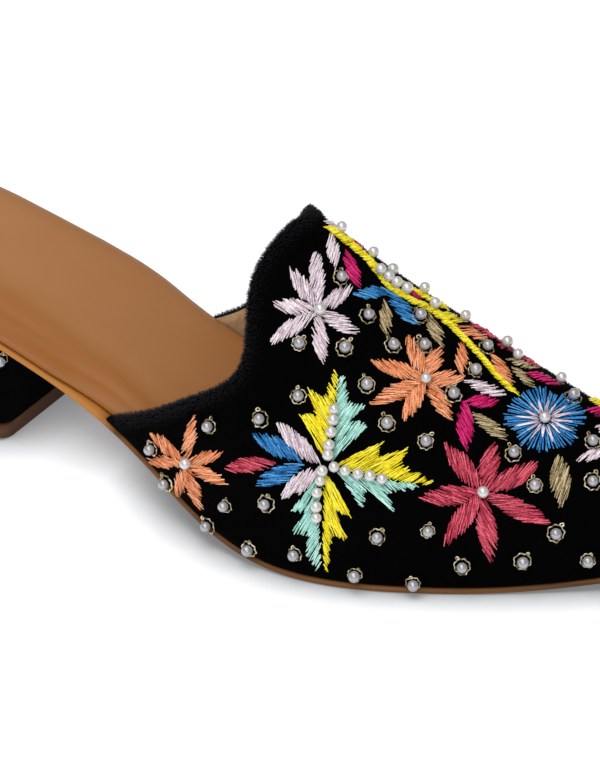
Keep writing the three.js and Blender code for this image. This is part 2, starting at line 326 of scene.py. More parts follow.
# %% Thread, pearl and wire
def silk_thread(name, dark, middle, light):
    material, tree, shader = new_finish("thread_" + name, {"Specular IOR Level": 0.35})
    twist_and_glints = noise(tree, scale=2400, detail=2.0)
    # Painted highlight and shade: the twist pattern lightens and darkens the colour along each thread as
    # glints.
    tone = calc(tree, "ADD", stored(tree, "shade"), spread(tree, twist_and_glints, low=-0.7, high=0.7))
    tint(tree, shader, tone, [(0.0, dark), (0.5, middle), (1.0, light)])
    relief(tree, shader, twist_and_glints, depth=0.08 * MM, strength=0.5)
    gloss(tree, shader, twist_and_glints, low=0.25, high=0.5)
    return material


def pearl():
    material, tree, shader = new_finish("pearl", {
        "Metallic": 0.32,
        "Coat Weight": 1.0,
        "Coat Roughness": 0.06,
    })
    lustre = noise(tree, scale=420, detail=2.0)
    # Painted light: the stored tone paints pearls on thread lighter than pearls deep in rings.
    tone = calc(tree, "ADD", stored(tree, "tone"), spread(tree, lustre, low=-0.3, high=0.3))
    tint(tree, shader, tone, [(0.0, "9c9ba1"), (0.3, "acaaac"), (0.8, "d2cfcc")])
    gloss(tree, shader, lustre, low=0.2, high=0.28)
    return material


def gold_wire():
    material, tree, shader = new_finish("gold_wire", {"Metallic": 0.85})
    coil_and_glints = noise(tree, scale=1100, detail=4.0)
    # Painted highlight and shade: the coil pattern runs the wire's colour from dark brown to cream.
    tint(tree, shader, coil_and_glints, [(0.36, "6a5838"), (0.47, "c8b484"), (0.58, "fff4d8")])
    relief(tree, shader, coil_and_glints, depth=0.3 * MM)
    gloss(tree, shader, coil_and_glints, low=0.3, high=0.55)
    return material


VELVET = velvet("velvet", "010101", "010101")
# Painted sheen: the light end is the shine of thick pile along the rim.
PILE = velvet("velvet_pile", "010102", "363539")
PEARL = pearl()
GOLD_WIRE = gold_wire()
THREADS = {
    "lilac": silk_thread("lilac", "a58d99", "e0cdd7", "fff6fa"),
    "coral": silk_thread("coral", "b25c2e", "ee9562", "ffc49e"),
    "rose": silk_thread("rose", "761429", "c23650", "f07486"),
    "magenta": silk_thread("magenta", "700036", "c60060", "f0308a"),
    "yellow": silk_thread("yellow", "b89e00", "f6e400", "fff65a"),
    "mint": silk_thread("mint", "66aa9a", "a8dfd3", "d8faf2"),
    "blue": silk_thread("blue", "063a66", "1c75ba", "62b4e8"),
    "bronze": silk_thread("bronze", "5c4a2a", "a28d64", "dccaa2"),
}
print("finishes in the file:", len(bpy.data.materials))


# %% [markdown]
# ## Smooth copies of the CAD solids
#
# A CAD mesh is a set of loose triangles. A copy with its corners joined and its triangles paired
# into quads can be subdivided into a smooth surface. The shapes could be modelled anew instead, but
# copies keep the true sizes. Edges that should stay crisp, such as the rim of the outsole, are
# creased first, so that subdivision rounds them only a little.

# %% Copy and smooth
SAME_POINT = 0.002 * MM
PAIR_ANGLE = math.radians(40)
RIM_CREASE = 0.75


def merged_copy(solid):
    """A CAD node's mesh with corners joined and triangles paired into quads."""
    shape = bmesh.new()
    shape.from_mesh(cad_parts[solid].data)
    bmesh.ops.remove_doubles(shape, verts=shape.verts, dist=SAME_POINT)
    bmesh.ops.join_triangles(
        shape, faces=shape.faces, angle_face_threshold=PAIR_ANGLE, angle_shape_threshold=PAIR_ANGLE
    )
    return shape


def crease_rims(shape, sharpest):
    """Keep the edges that bend more than an angle crisp under subdivision."""
    crease = shape.edges.layers.float.new("crease_edge")
    for edge in shape.edges:
        if edge.is_manifold and edge.calc_face_angle() > sharpest:
            edge[crease] = RIM_CREASE


def new_piece(name, mesh, *finishes):
    """An object at the origin that shows a mesh in its finishes."""
    for finish in finishes:
        mesh.materials.append(finish)
    piece = bpy.data.objects.new(name, mesh)
    scene.collection.objects.link(piece)
    return piece


def keep_result(piece):
    """Make what the modifiers gave the piece's own mesh, and drop the modifiers."""
    graph = bpy.context.evaluated_depsgraph_get()
    mesh = bpy.data.meshes.new_from_object(
        piece.evaluated_get(graph), preserve_all_data_layers=True, depsgraph=graph
    )
    piece.modifiers.clear()
    piece.data = mesh
    mesh.name = piece.name
    for polygon in mesh.polygons:
        polygon.use_smooth = True


def smoothed(name, shape, levels, *finishes):
    """Turn a merged copy into a smooth piece by subdividing it."""
    mesh = bpy.data.meshes.new(name)
    shape.to_mesh(mesh)
    shape.free()
    piece = new_piece(name, mesh, *finishes)
    modifier = piece.modifiers.new("smooth", "SUBSURF")
    modifier.levels = levels
    modifier.render_levels = levels
    keep_result(piece)
    print(name, "has", len(piece.data.polygons), "faces")
    return piece


def dress(piece, slot, *solids):
    """Tie a piece to the body and to the solids it stands for; the slot, its finish in the record, is not
    used.
    """
    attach(piece, "root")
    if solids:
        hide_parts(*solids)


# %% [markdown]
# ## Outsole, heel and lift
#
# The outsole is a thin plate with a crisp rim. The heel block is covered in the upper's velvet,
# drawn tight over wood. The lift under it is a stack of leather.
# Undersides are dark, or they would throw a warm light on the floor below the arch.

# %% Outsole, heel and lift
RIM_ANGLE = math.radians(28)
SOLE_LEVELS = 2  # of subdivision
FACES_DOWN = -0.5  # upward part of the normal on a face that lies on the ground or on glue
OUTSIDE, INSIDE = 0, 1  # finishes of a piece: the one that shows, and the one inside or underneath


def sole_piece(name, solid, finish, slot):
    shape = merged_copy(solid)
    crease_rims(shape, RIM_ANGLE)
    for face in shape.faces:
        face.material_index = INSIDE if face.normal.z < FACES_DOWN else OUTSIDE
    piece = smoothed(name, shape, SOLE_LEVELS, finish, LIFT_LEATHER)
    dress(piece, slot, solid)
    return piece


sole_piece("leather_outsole", "outsole", SOLE_LEATHER, "sole_leather")
heel = sole_piece("covered_heel", "heel", VELVET, "velvet")
sole_piece("stacked_lift", "heel_lift", LIFT_LEATHER, "lift_leather")

# %% [markdown]
# ## The footbed
#
# Foam under calf leather, lasted tight: a crowned pad that rolls down to the outsole all round.
# A cloth simulation would puff it up like a cushion, and the real one is glued flat, so it is
# shaped by moving vertices instead. The roll is wide on the outer side and drops towards the heel,
# and below it the leather stands straight on the outsole. The foot leaves a shallow hollow under the
# heel, and where the arch bends, the leather draws a few soft folds that run along the rolled edge.

# %% Footbed
Fold = namedtuple("Fold", "inset start end depth width")
HEEL_HOLLOW = 0.9 * MM
HOLLOW_CENTRE = Vector((-88, 8)) * MM
HOLLOW_RADIUS = 26 * MM
ROLL_WIDTH_BACK = 33 * MM  # measured over the bed and down the wall on the outer side
ROLL_WIDTH_FRONT = 10 * MM
ROLL_WIDTH_INNER = 8 * MM
ROLL_DROP = 2.2 * MM
BED_HEIGHT = 6 * MM  # what lies lower over the outsole sinks less
DROP_START, DROP_END = -15 * MM, -60 * MM  # the bed rolls down fully behind the end
WALL_BACK = -100 * MM  # in front of it the lower half of the roll stands straight on the outsole
WALL_FADE = 12 * MM
WALL_NORMALS = (-0.98, -0.7)  # upward part of the normal, from the glued base to the wall
ROLLED_FULLY = 0.8  # share of the roll's width over which the drop grows
FOOTBED_LEVELS = 2
JOINT = 0.5 * MM  # the wall reaches this far down, so that no dark line shows under it
TOE_SHADE = 0.55  # painted shade: the bed is painted deeper in colour towards the toe
FOLDS = [
    Fold(inset=7.5 * MM, start=-95 * MM, end=-40 * MM, depth=0.35 * MM, width=1.6 * MM),
    Fold(inset=4.5 * MM, start=-70 * MM, end=-22 * MM, depth=0.30 * MM, width=1.3 * MM),
    Fold(inset=11.0 * MM, start=-60 * MM, end=-15 * MM, depth=0.25 * MM, width=1.8 * MM),
]


def outline_of(solid, slices=120):
    """The lowest and highest Y and the lowest Z of a solid in each slice along X."""
    low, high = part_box(solid)
    span = (high.x - low.x) / slices
    edges = [(high.y, low.y, high.z) for _ in range(slices + 1)]
    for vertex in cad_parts[solid].data.vertices:
        i = round((vertex.co.x - low.x) / span)
        outer, inner, base = edges[i]
        edges[i] = (min(outer, vertex.co.y), max(inner, vertex.co.y), min(base, vertex.co.z))
    return [(low.x + i * span, Vector(e)) for i, e in enumerate(edges) if e[0] < e[1]]


def edges_at(outline, x):
    """Both edges and the underside at a place along X, between the two nearest known slices."""
    for (x0, edges0), (x1, edges1) in zip(outline, outline[1:]):
        if x <= x1:
            return edges0.lerp(edges1, min(max((x - x0) / (x1 - x0), 0), 1))
    return outline[-1][1]


def smooth_step(start, end, value):
    """A soft change from 0 at the start to 1 at the end."""
    share = min(max((value - start) / (end - start), 0), 1)
    return share * share * (3 - 2 * share)


def footbed_piece():
    piece = smoothed("padded_footbed", merged_copy("insole"), FOOTBED_LEVELS, FOOTBED_LEATHER)
    outline = outline_of("insole")
    low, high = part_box("insole")
    painted_shade = piece.data.attributes.new("painted_shade", "FLOAT", "POINT")
    for vertex, mark in zip(piece.data.vertices, painted_shade.data):
        place = vertex.co
        outer, inner, base = edges_at(outline, place.x)
        front = (place.x - low.x) / (high.x - low.x)
        width = ROLL_WIDTH_BACK + (ROLL_WIDTH_FRONT - ROLL_WIDTH_BACK) * front
        outer_reach = place.y - outer + place.z - base
        inner_reach = min(inner - place.y, place.x - low.x) + place.z - base
        rolled = max(1 - outer_reach / width, 0)
        # Painted shade: the mark grows over the roll on both sides, widest on the outer side, and towards
        # the toe.
        mark.value = max(rolled, 1 - inner_reach / ROLL_WIDTH_INNER, TOE_SHADE * front)
        straight = smooth_step(WALL_BACK, WALL_BACK + WALL_FADE, place.x)
        straight *= smooth_step(UPPER_BACK, UPPER_BACK - WALL_FADE, place.x)
        straight *= smooth_step(*WALL_NORMALS, vertex.normal.z) if vertex.normal.z < 0 else 0
        edge = outer if place.y < (outer + inner) / 2 else inner
        place.y += (edge - place.y) * straight
        place.z -= JOINT * straight
        away = (place.xy - HOLLOW_CENTRE).length / HOLLOW_RADIUS
        sink = HEEL_HOLLOW * math.exp(-away * away)
        drop = smooth_step(DROP_START, DROP_END, place.x) * smooth_step(0, ROLLED_FULLY, rolled)
        sink += ROLL_DROP * drop
        for fold in FOLDS:
            if fold.start < place.x < fold.end:
                run = math.sin(math.pi * (place.x - fold.start) / (fold.end - fold.start))
                off = (place.y - outer - fold.inset) / fold.width
                sink += fold.depth * run * math.exp(-off * off)
        place.z -= sink * smooth_step(0, BED_HEIGHT, place.z - base)
    dress(piece, "footbed_leather", "insole")


footbed_piece()

# %% [markdown]
# ## The upper
#
# One hollow shell: velvet outside and over the rim, leather lining inside. Faces picked by hand would
# have to be picked again after each change to the CAD model, so a rule tells the sides apart. The
# faces that look towards the middle of their own slice across the shoe are the inside ones, and so
# are those that look back from inside the toe.

# %% Upper
Slice = namedtuple("Slice", "floor middle")
SLICE_LENGTH = 6 * MM  # along X
LOW_INSIDE = 0.3  # share of a slice's height
UPPER_LEVELS = 1
LINING_SIDE = -0.3  # cosine between a face's normal and the way out from the slice's middle
TOE = 60 * MM  # in front of it only lining looks back
CUT_EDGE = math.radians(60)  # the upper bends this sharply only along its cut edges


def hollow_slices(shape):
    """For each slice along X, its feather edge's height and a point low inside the hollow."""
    slices = {}
    for vertex in shape.verts:
        slices.setdefault(round(vertex.co.x / SLICE_LENGTH), []).append(vertex.co)
    found = {}
    for i, places in slices.items():
        sides = [p.y for p in places]
        floor = min(p.z for p in places)
        middle = floor + (max(p.z for p in places) - floor) * LOW_INSIDE
        found[i] = Slice(floor, Vector((i * SLICE_LENGTH, (min(sides) + max(sides)) / 2, middle)))
    return found


def upper_piece():
    shape = merged_copy("upper")
    slices = hollow_slices(shape)
    for face in shape.faces:
        centre = face.calc_center_median()
        way_out = centre - slices[round(centre.x / SLICE_LENGTH)].middle
        way_out.x = 0
        inside = face.normal.dot(way_out.normalized()) < LINING_SIDE
        inside |= centre.x > TOE and face.normal.x < LINING_SIDE
        face.material_index = INSIDE if inside else OUTSIDE
    crease_rims(shape, CUT_EDGE)
    piece = smoothed("velvet_upper", shape, UPPER_LEVELS, VELVET, LINING_LEATHER)
    dress(piece, "velvet", "upper")
    return piece, slices


upper, upper_slices = upper_piece()


def velvet_surface(piece):
    """A piece's velvet in a form that rays can meet, without lining and faces that are glued down."""
    sewable = [
        polygon.vertices[:]
        for polygon in piece.data.polygons
        if polygon.material_index == OUTSIDE and polygon.normal.z > FACES_DOWN
    ]
    return BVHTree.FromPolygons([vertex.co for vertex in piece.data.vertices], sewable)


upper_surface = velvet_surface(upper)
heel_surface = velvet_surface(heel)

# %% [markdown]
# ## From a pixel to a place on the velvet
#
# The embroidery is drawn in the photograph's own pixels, which are easy to read off, and the line of
# sight through a pixel is followed until it meets the upper. A pearl or a thread stands up from the
# cloth there, which moves it in the picture, so its seat is shifted back until it covers its pixel.
# Along the ridge the view only grazes the cloth and would draw a small shape far out over it, so
# every stitch is held within reach of its shape's middle.
#
# The inner side of the shoe isn't in the photograph: it gets the same ornament at the same length
# and a little lower, found by looking at the upper from that side, and only where the photograph
# can't show it.

# %% Places on the upper
Seat = namedtuple("Seat", "spot normal")
SEARCH = range(-130, 131, 4)  # millimetres before and behind the aim point
SHIFTS = 3  # how often a seat is corrected
STRETCH = 2.2  # a shape may be this much larger on the cloth than it looks
INNER_START = 8 * MM  # the inner side begins this far from the middle
INNER_SHARE = 0.8  # the ornament's height on the inner side, as a share of the outer side's
CLEAR_OF_SHOE = 6 * MM  # a look at the inner side starts this far outside it
TALLEST = 4.5 * MM  # nothing on the velvet stands higher


def on_surface(surface, pixel):
    """Where the line of sight through a pixel meets a surface, or passes it most closely."""
    line = sight_line(pixel)
    spot, normal, _, _ = surface.ray_cast(eye, line)
    if spot is None:
        tries = [surface.find_nearest(eye + line * (EYE_DISTANCE + d * MM)) for d in SEARCH]
        spot, normal, _, _ = min(tries, key=lambda hit: hit[3])
    return Seat(spot, normal)


def over(seat, height):
    """The point at a height over a seat."""
    return seat.spot + seat.normal * height


def seat_under(surface, pixel, height):
    """The seat whose point at this height over the cloth is seen at a pixel."""
    aim = Vector(pixel)
    for _ in range(SHIFTS):
        seat = on_surface(surface, aim)
        aim += Vector(pixel) - pixel_of(over(seat, height))
    return seat


def held(seat, anchor, drawn):
    """A seat drawn back towards its shape's middle where a glancing view stretches the shape."""
    away = seat.spot - anchor.spot
    limit = STRETCH * drawn / PIXELS_PER_MM * MM
    if away.length <= limit:
        return seat
    return Seat(*upper_surface.find_nearest(anchor.spot + away * (limit / away.length))[:2])


def hidden(seat):
    """Whether the upper hides all that can stand on a seat."""
    sight = over(seat, TALLEST) - eye
    return upper_surface.ray_cast(eye, sight.normalized(), sight.length)[0] is not None


def inner_side(seat):
    """The seat at the same length on the inner side, or None where there is none that is hidden."""
    floor = upper_slices[round(seat.spot.x / SLICE_LENGTH)].floor
    height = floor + (seat.spot.z - floor) * INNER_SHARE
    start = Vector((seat.spot.x, cad_high.y + CLEAR_OF_SHOE, height))
    spot, normal, _, _ = upper_surface.ray_cast(start, Vector((0, -1, 0)))
    if spot is None or spot.y < INNER_START or not hidden(Seat(spot, normal)):
        return None
    return Seat(spot, normal)


middle_seat = on_surface(upper_surface, Vector((PHOTO_WIDTH, PHOTO_HEIGHT)) / 2)
print("the photograph's middle lies at, in millimetres:", [round(v / MM, 1) for v in middle_seat.spot])

# %% [markdown]
# ## Drawing with thread
#
# A petal in satin stitch is a row of long threads that lie side by side, a little aslant. The ends
# of the threads make the ragged edge that tells hand work from print. Each helper returns plain
# pairs of ends in pixels. Petals and leaves are outlines filled with slanting lines, in two layers:
# short threads below pad the shape, and the threads on top overshoot its edge, each by its own
# bit. A long thread would sag, so it is sewn as two. A stem overlaps short threads along a path, and
# the round flower sends them out of its heart.

# %% Satin stitch
Stitch = namedtuple("Stitch", "start end lift", defaults=[1.0])
Layer = namedtuple("Layer", "pitch overshoot lift")
LAYERS = [
    Layer(pitch=1.1, overshoot=(-3.5, -0.5), lift=0.72),  # pixels between threads and past the edge
    Layer(pitch=0.95, overshoot=(-1.5, 4.2), lift=1.0),
]
UNEVEN = 0.4  # share of the pitch by which a thread lies off its row
STRAY = math.radians(4)  # how far a thread strays from its neighbours
SHORTEST_STITCH = 3  # pixels
LONGEST_STITCH = 22
OVERLAP = 2.5  # pixels by which both halves of a long run reach past its cut
CUT_AT = (0.3, 0.7)  # the cut lies between these shares of the run
PETAL_SLANT = math.radians(26)
SLANT_CHANGE = -0.3  # petals that point up and left slant to one side, all others to the other
PETAL_REACH = 0.6  # share of a petal's length that is searched for stitches, each way
PETAL_FULLNESS = 1.08  # over 1 moves the widest place towards the tip
PETAL_BLUNTNESS = 0.85  # under 1 makes both ends blunter


def wobble(size):
    """A small random step in the plane of the photograph."""
    return Vector((chance.uniform(-size, size), chance.uniform(-size, size)))


def runs(inside, start, way, reach):
    """The stretches of a line that lie inside an outline, as pairs of ends."""
    first = None
    for k in range(-reach, reach + 2):
        here = k <= reach and inside(start + way * k)
        if here and first is None:
            first = k
        if not here and first is not None:
            if k - first > SHORTEST_STITCH:
                yield start + way * first, start + way * (k - 1)
            first = None


def parts(back, front):
    """A long run is sewn as two stitches that overlap somewhere near its middle."""
    run = front - back
    if run.length < LONGEST_STITCH:
        return [(back, front)]
    cut = back + run * chance.uniform(*CUT_AT)
    overlap = run.normalized() * OVERLAP
    return [(back, cut + overlap), (cut - overlap, front)]


def satin(inside, middle, reach, way):
    """Fill an outline with slanting threads, a padding layer first."""
    across = Vector((-way.y, way.x))
    stitches = []
    for layer in LAYERS:
        rows = round(reach / layer.pitch)
        for i in range(-rows, rows + 1):
            stray = math.tan(chance.gauss(0, STRAY))
            line = (way + across * stray).normalized()
            row = middle + across * ((i + chance.uniform(-UNEVEN, UNEVEN)) * layer.pitch)
            for back, front in runs(inside, row, line, round(reach)):
                more, less = (line * chance.uniform(*layer.overshoot) for _ in range(2))
                for start, end in parts(back - less, front + more):
                    stitches.append(Stitch(start, end, layer.lift))
    return stitches


def petal(root, tip, width):
    """A petal that is pointed at both ends and fullest past its middle."""
    root, tip = Vector(root), Vector(tip)
    axis = tip - root
    along = axis.normalized()
    across = Vector((-along.y, along.x))
    turned = -1 if along.x + along.y > SLANT_CHANGE else 1

    def inside(point):
        share = min(max((point - root).dot(along) / axis.length, 0), 1)
        half = width / 2 * math.sin(math.pi * share**PETAL_FULLNESS) ** PETAL_BLUNTNESS
        return abs((point - root).dot(across)) < half

    way = along * math.cos(PETAL_SLANT) + across * (turned * math.sin(PETAL_SLANT))
    return satin(inside, (root + tip) / 2, axis.length * PETAL_REACH, way)


def half_leaf(outline, grain):
    """One half of a toothed leaf: its outline is filled along the grain."""
    corners = [Vector(corner) for corner in outline]
    sides = list(zip(corners, corners[1:] + corners[:1]))
    middle = sum(corners, Vector((0, 0))) / len(corners)

    def inside(point):
        crossed = 0
        for a, b in sides:
            if (a.y > point.y) != (b.y > point.y):
                crossed += point.x < a.x + (b.x - a.x) * (point.y - a.y) / (b.y - a.y)
        return crossed % 2 == 1

    reach = max((corner - middle).length for corner in corners)
    return satin(inside, middle, reach, Vector(grain).normalized())


# %% Stems
STEM_STITCH = 12.0  # pixels
STEM_PITCH = 0.5
STEM_LENGTHS = (0.7, 1.1)  # shares of the stitch
STEM_SIDES = (0.15, 0.5)  # shares of the width between the path and a thread's end


def stem(path, width):
    """Short threads that cross a path aslant, each a little further on, like a cord."""
    points = [Vector(p) for p in path]
    stitches = []
    for a, b in zip(points, points[1:]):
        along = (b - a).normalized()
        across = Vector((-along.y, along.x))
        for i in range(max(1, round((b - a).length / STEM_PITCH))):
            start = a + along * (i * STEM_PITCH)
            near, far = (across * (width * chance.uniform(*STEM_SIDES)) for _ in range(2))
            reach = along * (STEM_STITCH * chance.uniform(*STEM_LENGTHS))
            stitches.append(Stitch(start + near, start + reach - far))
    return stitches


# %% The round flower
DISC_THREADS = 70
DISC_STRANDS = 3
DISC_UNEVEN = 0.25  # share of the pitch by which a thread lies off its place
DISC_STARTS = (0.14, 0.36)  # threads begin at these shares of the radius by turns
DISC_START_SPREAD = 0.08
DISC_ENDS = (0.94, 1.06)
PADDING_START = 0.3
PADDING_ENDS = (0.72, 0.88)
PADDING_LIFT = 0.5
STRAND_START, STRAND_END = 0.5, 0.8  # pixels by which the strands of a thread part
NOTCH_WIDTH = 0.2  # radians
NOTCH_DEPTH = 0.2
RAY_STRANDS = 5
RAY_TURN = 0.3  # share of the step between two rays
RAY_STARTS = (0.16, 0.22)
RAY_ENDS = (0.56, 0.8)
RAY_START, RAY_END = 1.8, 0.6  # pixels by which the strands of a ray part


def disc_edge(heart, radii, notches, angle):
    """A point on the edge of a round flower with notches cut into it."""
    depth = 0
    for notch in notches:
        out = Vector(notch) - Vector(heart)
        gap = angle - math.atan2(out.y / radii[1], out.x / radii[0])
        gap = math.remainder(gap, math.tau) / NOTCH_WIDTH
        depth += NOTCH_DEPTH * math.exp(-gap * gap)
    reach = Vector((math.cos(angle) * radii[0], math.sin(angle) * radii[1]))
    return Vector(heart) + reach * (1 - depth)


def disc(heart, radii, notches):
    """Threads from the heart to the edge of a round flower, padded by shorter ones below."""
    heart = Vector(heart)
    stitches = []
    for i in range(DISC_THREADS):
        angle = math.tau * (i + chance.uniform(-DISC_UNEVEN, DISC_UNEVEN)) / DISC_THREADS
        edge = disc_edge(heart, radii, notches, angle)
        near = heart.lerp(edge, DISC_STARTS[i % 2] + chance.uniform(0, DISC_START_SPREAD))
        far = heart.lerp(edge, chance.uniform(*DISC_ENDS))
        pad_end = heart.lerp(edge, chance.uniform(*PADDING_ENDS))
        stitches.append(Stitch(heart.lerp(edge, PADDING_START), pad_end, PADDING_LIFT))
        for _ in range(DISC_STRANDS):
            stitches.append(Stitch(near + wobble(STRAND_START), far + wobble(STRAND_END)))
    return stitches


def rays(heart, radii, count):
    """Bundles of pale thread that shine out of a flower's heart."""
    heart = Vector(heart)
    stitches = []
    for i in range(count):
        angle = math.tau * (i + RAY_TURN) / count
        reach = Vector((math.cos(angle) * radii[0], math.sin(angle) * radii[1]))
        far = heart + reach * chance.uniform(*RAY_ENDS)
        for _ in range(RAY_STRANDS):
            start = heart + reach * chance.uniform(*RAY_STARTS)
            stitches.append(Stitch(start + wobble(RAY_START), far + wobble(RAY_END)))
    return stitches


# %% [markdown]
# ## The pattern
#
# A garden in the folk manner: star flowers with seven petals, one round blue flower, a spray of
# toothed leaves about the outer side, and a yellow stem down the ridge with leaves on both sides.
# Places are pixels of the photograph, as (across, down). The frame ends at 600 pixels across, and
# the same pixels carry on over the toe, where the pattern is continued plainly.

# %% Flowers
Flower = namedtuple("Flower", "thread heart tips width")
FLOWERS = [
    Flower("lilac", (319, 310), [
        (315, 249), (353, 286), (358, 334), (321, 366), (268, 343), (272, 304), (289, 268),
    ], 15),
    Flower("coral", (426, 378), [
        (372, 362), (407, 335), (440, 347), (464, 379), (451, 420), (403, 420), (371, 404),
    ], 16),
    Flower("coral", (185, 464), [
        (194, 415), (222, 453), (228, 485), (201, 512), (177, 498), (146, 461), (150, 433),
    ], 12),
    Flower("rose", (483, 492), [
        (445, 445), (494, 444), (541, 464), (549, 524), (490, 562), (444, 544), (420, 499),
    ], 19),
    Flower("lilac", (659, 498), [
        (640, 462), (668, 459), (694, 486), (690, 516), (664, 536), (634, 527), (620, 498),
    ], 15),
]
BLUE_HEART = (545, 419)
BLUE_RADII = (41, 32)
BLUE_NOTCHES = [(516, 432), (555, 397), (579, 430)]
BLUE_RAYS = 16

# %% Spray and leaves
Leaf = namedtuple("Leaf", "thread root tip width")
HalfLeaf = namedtuple("HalfLeaf", "thread grain outline")
SPRAY = [
    HalfLeaf("yellow", (-0.5, -0.87), [
        (324, 458), (306, 427), (299, 414), (317, 417), (306, 387), (325, 400), (338, 364), (336, 397),
        (332, 432), (328, 458),
    ]),
    HalfLeaf("mint", (0.6, -0.8), [
        (332, 462), (334, 430), (337, 395), (340, 372), (346, 387), (349, 405), (367, 404), (350, 421),
        (368, 426), (352, 441),
    ]),
    HalfLeaf("yellow", (0.86, -0.5), [
        (337, 465), (354, 454), (383, 442), (376, 458), (408, 448), (400, 465), (436, 484), (410, 483),
        (386, 478), (340, 469),
    ]),
    HalfLeaf("mint", (0.75, 0.66), [
        (336, 470), (346, 485), (361, 508), (365, 488), (394, 512), (388, 492), (422, 486), (400, 482),
        (370, 477),
    ]),
    HalfLeaf("mint", (-0.5, 0.87), [
        (320, 473), (310, 487), (290, 512), (307, 512), (291, 531), (309, 534), (307, 553), (320, 571),
        (320, 545), (317, 515), (320, 490),
    ]),
    HalfLeaf("yellow", (0.42, 0.9), [
        (325, 474), (334, 482), (352, 518), (335, 511), (349, 542), (332, 534), (326, 576), (323, 550),
        (324, 515), (323, 490),
    ]),
]
SPRAY_LEAVES = [
    Leaf("lilac", (321, 465), (277, 424), 17),
    Leaf("lilac", (321, 468), (281, 496), 17),
    Leaf("blue", (304, 461), (253, 435), 17),
    Leaf("blue", (304, 463), (256, 486), 17),
    Leaf("rose", (276, 461), (226, 469), 15),
    Leaf("bronze", (562, 508), (559, 454), 20),
    Leaf("magenta", (465, 401), (498, 402), 13),
    Leaf("magenta", (465, 400), (466, 449), 17),
    Leaf("bronze", (471, 412), (508, 440), 13),
    Leaf("lilac", (464, 380), (506, 396), 11),
    Leaf("lilac", (576, 459), (616, 448), 11),
    Leaf("bronze", (625, 545), (655, 560), 10),
]
RIDGE_LEAVES = [
    Leaf("lilac", (338, 271), (329, 233), 11),
    Leaf("lilac", (326, 221), (339, 228), 9),
    Leaf("magenta", (346, 250), (358, 288), 13),
    Leaf("magenta", (347, 238), (366, 252), 9),
    Leaf("blue", (391, 290), (353, 295), 12),
    Leaf("blue", (387, 290), (418, 326), 14),
    Leaf("bronze", (386, 299), (385, 336), 13),
    Leaf("bronze", (428, 312), (442, 347), 12),
    Leaf("magenta", (400, 280), (424, 302), 8),
    Leaf("yellow", (434, 312), (467, 322), 9),
    Leaf("coral", (458, 326), (489, 339), 11),
    Leaf("coral", (462, 341), (461, 375), 12),
    Leaf("coral", (490, 351), (513, 388), 12),
    Leaf("bronze", (507, 358), (536, 368), 7),
    Leaf("bronze", (511, 365), (535, 388), 8),
    Leaf("magenta", (524, 370), (564, 386), 8),
    Leaf("rose", (468, 321), (500, 341), 8),
    Leaf("rose", (498, 341), (514, 351), 9),
    Leaf("rose", (521, 355), (540, 368), 8),
    Leaf("magenta", (584, 408), (624, 416), 12),
    Leaf("lilac", (594, 426), (632, 433), 10),
]
Stem = namedtuple("Stem", "path width")
STEMS = [
    Stem([(325, 224), (351, 244), (369, 260), (389, 286), (409, 298), (434, 311), (449, 323)], 8.0),
    Stem([(449, 323), (468, 342), (482, 357), (495, 373), (511, 389)], 7.0),
    Stem([(396, 280), (416, 292), (440, 306)], 4.6),
    Stem([(589, 398), (612, 413), (640, 434), (668, 462)], 4.6),
]

# %% Pearls in the pattern
HEART_PEARLS = [(320, 309), (426, 378), (185, 464), (483, 492), (545, 417), (659, 498)]
SPINE_PEARLS = [
    (334, 409), (333, 420), (331, 432), (329, 445), (328, 455), (322, 471), (334, 467), (320, 481),
    (317, 493), (316, 507), (316, 518), (345, 471), (358, 474), (370, 476), (382, 479),
]
RIDGE_PEARLS = [
    (342, 226), (374, 251), (381, 269), (393, 269), (389, 276), (397, 282), (407, 288), (425, 287),
    (435, 303), (466, 315), (508, 341), (518, 354), (562, 377),
]
RIDGE_RINGED_PEARLS = [
    (342, 276), (369, 314), (421, 314), (476, 369), (488, 345), (574, 394), (630, 446), (662, 470),
]
SIDE_RINGED_PEARLS = [
    (299, 343), (345, 347), (394, 344), (425, 344), (367, 384), (298, 396), (454, 393), (259, 419),
    (207, 427), (149, 450), (165, 484), (202, 524), (223, 507), (264, 505), (247, 551), (293, 556),
    (354, 577), (413, 586), (377, 538), (428, 532), (462, 568), (523, 563), (588, 562), (556, 534),
    (535, 485), (514, 452), (593, 481), (593, 440), (387, 423), (426, 441), (612, 528), (640, 552),
    (688, 548), (706, 520),
]
print("flowers, leaves:", len(FLOWERS) + 1, len(SPRAY) + len(SPRAY_LEAVES) + len(RIDGE_LEAVES))

# %% [markdown]
# ## Sewing it on
#
# Every stitch becomes a path of a few points that comes up through the cloth, crosses over the
# padding and goes down again. The threads of one colour make one mesh of plain edges, and a
# Geometry Nodes tree sweeps a small circle along them. That keeps the drawing and the thickness of
# the thread apart: the tree's one number changes the thread everywhere.

# %% Lay the threads
THREAD_WIDTH = 0.29 * MM
THREAD_STEPS = 5
THREAD_CROWN = 0.95 * MM  # height over the cloth in the middle of a long stitch
THREAD_DIVE = 0.2 * MM  # the ends go this far into the cloth
THREAD_ARCH = 0.6  # under 1 a stitch rises steeply and runs flat
RAISED_CROWN = 1.5 * MM  # of threads that lie over others
LONG_STITCH = 22.0  # pixels
SHORT_HEIGHT = 0.4  # share of the crown's height that the shortest stitch has
STITCH_HEIGHTS = (0.75, 1.15)  # stitches differ in height by these shares
THREAD_WAVE = 0.3  # pixels by which a thread leaves its straight line
THREAD_VARIETY = 0.24  # spread of the shade from thread to thread
SHADE_START, SHADE_BY_LIFT = -0.2, 0.75  # painted shade: the padding lies low between the top threads and is painted darker
Strand = namedtuple("Strand", "path shade")
threads = {name: [] for name in THREADS}


def thread_heights(crown):
    """Shares of a stitch and its heights there: up through the cloth, across and down."""
    for i in range(THREAD_STEPS + 1):
        share = i / THREAD_STEPS
        yield share, crown * math.sin(math.pi * share) ** THREAD_ARCH - THREAD_DIVE


